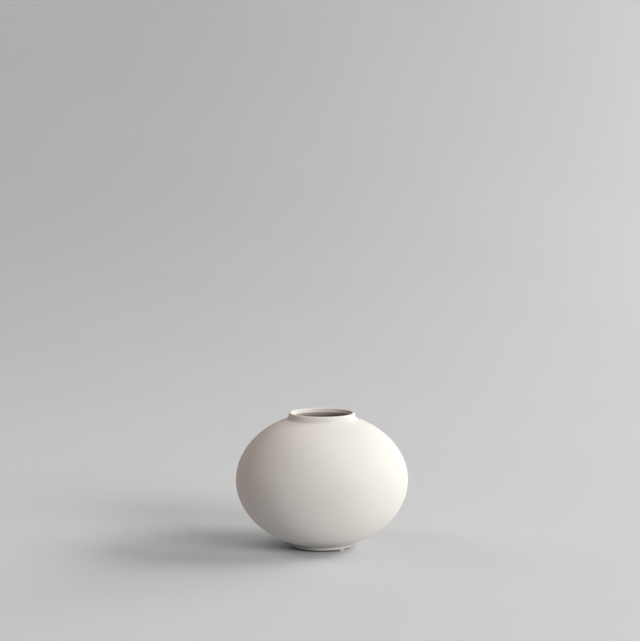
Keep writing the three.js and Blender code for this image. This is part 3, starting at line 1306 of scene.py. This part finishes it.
@dataclass
class GlazeLining(Member):
    """Watertight glaze on the floor and the wall inside.

    Attributes:
        neck: curves of the neck, for the edge of the lining.
        finish: the glaze.
        bed: how close the glaze lies to the clay.
        thickness: thickness of the coat.
        margin: bare clay between the coat's edge and the undercut.
        feather: how far from its edge the coat starts to thin out.
        thin_edge: share of the thickness that is left at the edge.
        turn_steps: steps round the axis.
        clay_steps: steps across the floor and up the wall on the clay's side.
        open_steps: the same on the open side.
    """

    neck: NeckForm
    finish: SatinGlaze = SatinGlaze()
    bed: float = 0.05 * MM
    thickness: float = 0.75 * MM
    margin: float = 0.6 * MM
    feather: float = 5 * MM
    thin_edge: float = 0.1
    turn_steps: int = 192
    clay_steps: tuple[int, int] = (7, 72)
    open_steps: tuple[int, int] = (22, 220)

    def side(self, depth: float, steps: tuple[int, int]) -> list[Vector]:
        """One face of the coat, from the middle of the floor to its edge.

        Args:
            depth: how deep it lies below the clay's inside.
            steps: steps across the floor and up the wall.

        Returns:
            The points.
        """
        face = self.form.inside.taken_in(depth)
        level = self.form.floor_level + depth
        floor_angle = face.angle_at_level(level)
        edge_angle = face.angle_at_radius(self.neck.undercut_end().x + self.margin)
        floor_steps, wall_steps = steps
        floor = straight(Vector((0, level)), face.point(floor_angle), floor_steps)
        angles = [floor_angle + (edge_angle - floor_angle) * t for t in shares(wall_steps, Spacing.EVEN)]
        wall = [self.thinned(depth, (edge_angle - angle) * face.across).point(angle) for angle in angles]
        return floor + wall

    def thinned(self, depth: float, to_edge: float) -> Round:
        """The round that a face follows, which comes closer to the clay near the coat's edge.

        Args:
            depth: how deep the face lies away from the edge.
            to_edge: how far along the wall it is to the edge.

        Returns:
            The round.
        """
        left_over = 1 - min(to_edge / self.feather, 1)
        share = 1 - (1 - self.thin_edge) * left_over ** 2
        return self.form.inside.taken_in(self.bed + (depth - self.bed) * share)

    def section(self) -> Section:
        """Section of the coat: the face on the clay, and the open face back down.

        Returns:
            The outline.
        """
        section = Section()
        section.run(self.side(self.bed, self.clay_steps), Skin.JOINT)
        section.run(reversed(self.side(self.bed + self.thickness, self.open_steps)), Skin.INSIDE)
        return section

    def build(self) -> list[Piece]:
        """Makes the lining."""
        lining = self.wheel.turn("satin_lining", self.section(), self.turn_steps)
        return [self.set_in_place(lining, "glaze_lining", Slot.LINING_GLAZE, self.finish.material())]


@dataclass
class SoftDots(Member):
    """Soft dots that lift the foot off the table.

    Attributes:
        finish: the rubber.
        nodes: the solids of the dots.
        edge_round: radius of the lower edge.
        top_round: radius of the upper edge.
        swell: how far the side swells under the weight.
        turn_steps: steps round a dot.
        curve_steps: steps along a small round.
        flat_steps: steps across the bottom or the top.
    """

    finish: SoftRubber = SoftRubber()
    nodes: tuple[str, ...] = ("foot_pad_1", "foot_pad_2", "foot_pad_3")
    edge_round: float = 0.4 * MM
    top_round: float = 0.12 * MM
    swell: float = 0.08 * MM
    turn_steps: int = 72
    curve_steps: int = 8
    flat_steps: int = 3

    def section(self, radius: float, height: float) -> Section:
        """Section of a dot, from the middle of its bottom to the middle of its top.

        Args:
            radius: radius of the dot.
            height: height of the dot.

        Returns:
            The outline.
        """
        side = radius - self.swell
        low = Vector((side - self.edge_round, self.edge_round))
        high = Vector((side - self.top_round, height - self.top_round))
        lower_edge = circle_arc(low, self.edge_round, -QUARTER_TURN, 0, self.curve_steps)
        upper_edge = circle_arc(high, self.top_round, 0, QUARTER_TURN, self.curve_steps)
        swelling = [
            point + Vector((self.swell * math.sin(HALF_TURN * t), 0))
            for point, t in zip(
                straight(lower_edge[-1], upper_edge[0], self.curve_steps),
                shares(self.curve_steps, Spacing.EVEN),
            )
        ]
        section = Section()
        section.run(straight(Vector((0, 0)), lower_edge[0], self.flat_steps), Skin.OUTSIDE)
        section.run(lower_edge, Skin.OUTSIDE)
        section.run(swelling, Skin.OUTSIDE)
        section.run(upper_edge, Skin.OUTSIDE)
        section.run(straight(upper_edge[-1], Vector((0, height)), self.flat_steps), Skin.OUTSIDE)
        return section

    def build(self) -> list[Piece]:
        """Makes the dots.

        Returns:
            The dots in the order of their solids.
        """
        rubber = self.finish.material()
        dots = []
        for number, node in enumerate(self.nodes, start=1):
            low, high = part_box(node)
            centre = ((low + high) / 2).to_2d()
            section = self.section(radius=(high.x - low.x) / 2, height=high.z)
            dot = self.wheel.turn(f"soft_dot_{number}", section, self.turn_steps, centre)
            dots.append(self.set_in_place(dot, node, Slot.SOFT_DOT, rubber))
        return dots


@dataclass(frozen=True)
class SoftBox:
    """A soft studio light, aimed at the vase.

    Attributes:
        name: name of the light.
        bearing: direction from the vase, from +X towards -Y.
        elevation: height above the horizon.
        distance: distance from the vase.
        width: width of the light.
        height: height of the light.
        power: power in watts.
        tint: colour of the light.
        reach: what it falls on.
    """

    name: str
    bearing: float
    elevation: float
    distance: float
    width: float
    height: float
    power: float
    tint: Colour
    reach: Reach = Reach.EVERYTHING

    def hang(self, target: Vector, lit: dict[Reach, bpy.types.Collection]) -> None:
        """Puts the light in the scene.

        Args:
            target: what it is aimed at.
            lit: the pieces that a light of less than full reach falls on.
        """
        lamp = bpy.data.lights.new(self.name, "AREA")
        lamp.shape = "RECTANGLE"
        lamp.size, lamp.size_y = self.width, self.height
        lamp.energy = self.power
        lamp.color = self.tint
        # Lights that fall on some pieces only come out too bright without this
        lamp.cycles.use_multiple_importance_sampling = False
        light = bpy.data.objects.new(self.name, lamp)
        bearing, elevation = math.radians(self.bearing), math.radians(self.elevation)
        away = Vector((
            math.cos(bearing) * math.cos(elevation),
            -math.sin(bearing) * math.cos(elevation),
            math.sin(elevation),
        ))
        light.location = target + self.distance * away
        light.rotation_euler = (-away).to_track_quat("-Z", "Y").to_euler()
        light.visible_camera = False
        light.light_linking.receiver_collection = lit.get(self.reach)
        bpy.context.scene.collection.objects.link(light)


@dataclass
class Studio:
    """Pale sweep, soft light and camera.

    Attributes:
        target: what the lights are aimed at.
        body: the pieces of the vase above its foot.
        board: finish of the sweep.
        floor_front: how far the floor runs in front of the vase.
        floor_back: how far it runs flat behind the vase.
        floor_left: how far it runs flat to the left.
        floor_right: how far it runs to the right.
        rise_length: length of the curve from floor to wall.
        corner: radius of the floor's back left corner.
        wall_top: height of the walls.
        curve_steps: steps along each curve.
        lights: the lights.
        room_tone: colour of the light from all round.
        room_strength: strength of the light from all round.
        camera_place: where the camera stands.
        camera_pitch: how far it looks down, in degrees.
        lens: focal length in millimetres, on a sensor 36 mm wide.
    """

    target: Vector
    body: list[Piece]
    board: PaleBoard = PaleBoard()
    floor_front: float = 4.0
    floor_back: float = 0.5
    floor_left: float = 1.5
    floor_right: float = 4.5
    rise_length: float = 4.5
    corner: float = 1.2
    wall_top: float = 4.0
    curve_steps: int = 48
    lights: tuple[SoftBox, ...] = (
        SoftBox("front_window", 47, 21, 5.0, 2.8, 1.3, 183, (1.0, 0.995, 0.975)),
        SoftBox("side_window", -6, 31, 5.0, 3.0, 1.4, 188, (1.0, 0.995, 0.955)),
        SoftBox("low_back_window", -40, 20, 4.2, 1.8, 1.4, 63, (1.0, 0.995, 0.965), Reach.SWEEP),
        SoftBox("top_panel", 0, 86, 2.8, 1.8, 1.8, 21, (1.0, 0.985, 0.94), Reach.BODY),
        SoftBox("warm_bounce", 185, 25, 1.5, 1.0, 1.0, 2.3, (1.0, 0.25, 0.1), Reach.BODY),
        SoftBox("floor_fill", 150, 60, 2.8, 2.2, 2.2, 14, (1.0, 0.995, 0.965), Reach.SWEEP),
        SoftBox("left_fill", 200, 36, 2.8, 1.0, 1.0, 9.5, (1.0, 0.995, 0.965), Reach.SWEEP),
    )
    room_tone: Colour = (1.0, 1.0, 1.0)
    room_strength: float = 0.062
    camera_place: Vector = field(default_factory=lambda: Vector((-0.0018, -1.817, 0.3906)))
    camera_pitch: float = 5.6355
    lens: float = 111.03

    def floor_edge(self) -> list[tuple[Vector, Vector]]:
        """The floor's edge along the back, round the corner and down the left.

        Returns:
            Points of the edge, each with the direction out of the floor.
        """
        middle = Vector((self.corner - self.floor_left, self.floor_back - self.corner))
        round_corner = [
            (middle + self.corner * towards(angle), towards(angle))
            for angle in (QUARTER_TURN * (1 + t) for t in shares(self.curve_steps, Spacing.EVEN))
        ]
        back_end = Vector((self.floor_right, self.floor_back))
        front_end = Vector((-self.floor_left, -self.floor_front))
        return [(back_end, towards(QUARTER_TURN)), *round_corner, (front_end, towards(HALF_TURN))]

    def rise(self) -> list[Vector]:
        """The way from floor to wall, which starts flat and bends more and more.

        Returns:
            Distances out and up from the floor's edge.
        """
        step = self.rise_length / self.curve_steps
        way = [Vector((0, 0))]
        for share in shares(self.curve_steps, Spacing.EVEN):
            way.append(way[-1] + step * towards(QUARTER_TURN * share ** 2))
        return [*way, Vector((way[-1].x, self.wall_top))]

    def lay_sweep(self) -> Piece:
        """Makes the sweep: a floor that curves up into a back wall and a left wall.

        Returns:
            The sweep.
        """
        edge, rise = self.floor_edge(), self.rise()
        points = [(*(place + step.x * outward), step.y) for place, outward in edge for step in rise]
        rows = len(rise)
        faces = [
            (i * rows + j, i * rows + j + 1, (i + 1) * rows + j + 1, (i + 1) * rows + j)
            for i in range(len(edge) - 1)
            for j in range(rows - 1)
        ]
        points.append((self.floor_right, -self.floor_front, 0))
        faces.append((*range(0, len(edge) * rows, rows), len(points) - 1))
        mesh = bpy.data.meshes.new("pale_sweep")
        mesh.from_pydata(points, [], faces)
        mesh.shade_smooth()
        mesh.materials.append(self.board.material())
        sweep = bpy.data.objects.new("pale_sweep", mesh)
        bpy.context.scene.collection.objects.link(sweep)
        return sweep

    def gathered(self, name: str, pieces: list[Piece]) -> bpy.types.Collection:
        """A collection of pieces for a light to fall on.

        Args:
            name: name of the collection.
            pieces: the pieces.

        Returns:
            The collection.
        """
        collection = bpy.data.collections.new(name)
        for piece in pieces:
            collection.objects.link(piece)
        return collection

    def light_room(self, sweep: Piece) -> None:
        """Hangs the lights and sets the light from all round.

        Args:
            sweep: the sweep.
        """
        lit = {
            Reach.BODY: self.gathered("lit_body", self.body),
            Reach.SWEEP: self.gathered("lit_sweep", [sweep]),
        }
        for light in self.lights:
            light.hang(self.target, lit)
        world = bpy.data.worlds.new("room")
        world.use_nodes = True
        background = world.node_tree.nodes["Background"]
        background.inputs["Color"].default_value = (*self.room_tone, 1)
        background.inputs["Strength"].default_value = self.room_strength
        bpy.context.scene.world = world

    def stand_camera(self) -> None:
        """Puts the camera where the photograph was taken from, and keeps plain tones."""
        camera = bpy.data.objects.new("camera", bpy.data.cameras.new("camera"))
        camera.data.lens = self.lens
        camera.location = self.camera_place
        camera.rotation_euler = (math.radians(LEVEL_LOOK - self.camera_pitch), 0, 0)
        scene = bpy.context.scene
        scene.collection.objects.link(camera)
        scene.camera = camera
        scene.view_settings.view_transform = "Standard"
        scene.view_settings.look = "None"

    def set_up(self) -> None:
        """Makes the whole studio."""
        self.light_room(self.lay_sweep())
        self.stand_camera()


def main() -> None:
    """Builds the vase member by member, then the studio."""
    logging.basicConfig(level=logging.INFO, format="%(name)s: %(message)s")
    form = BodyForm.from_frame()
    neck = NeckForm(form)
    wheel = Wheel(body=form.outside, still_level=form.seat_level)
    bowls = Bowls(wheel, form, neck).build()
    coat = bowls[0].data.materials[0]
    body = bowls + NeckCollar(wheel, form, neck, coat).build()
    foot = FootRing(wheel, form).build()
    body += GlazeLining(wheel, form, neck).build()
    foot += SoftDots(wheel, form).build()
    for piece in body + foot:
        faces, finish = len(piece.data.polygons), piece.data.materials[0].name
        log.info("%s: %d faces, finish %s", piece.name, faces, finish)
    Studio(Vector((0, 0, form.belly_level)), body).set_up()


if __name__ == "__main__":
    main()
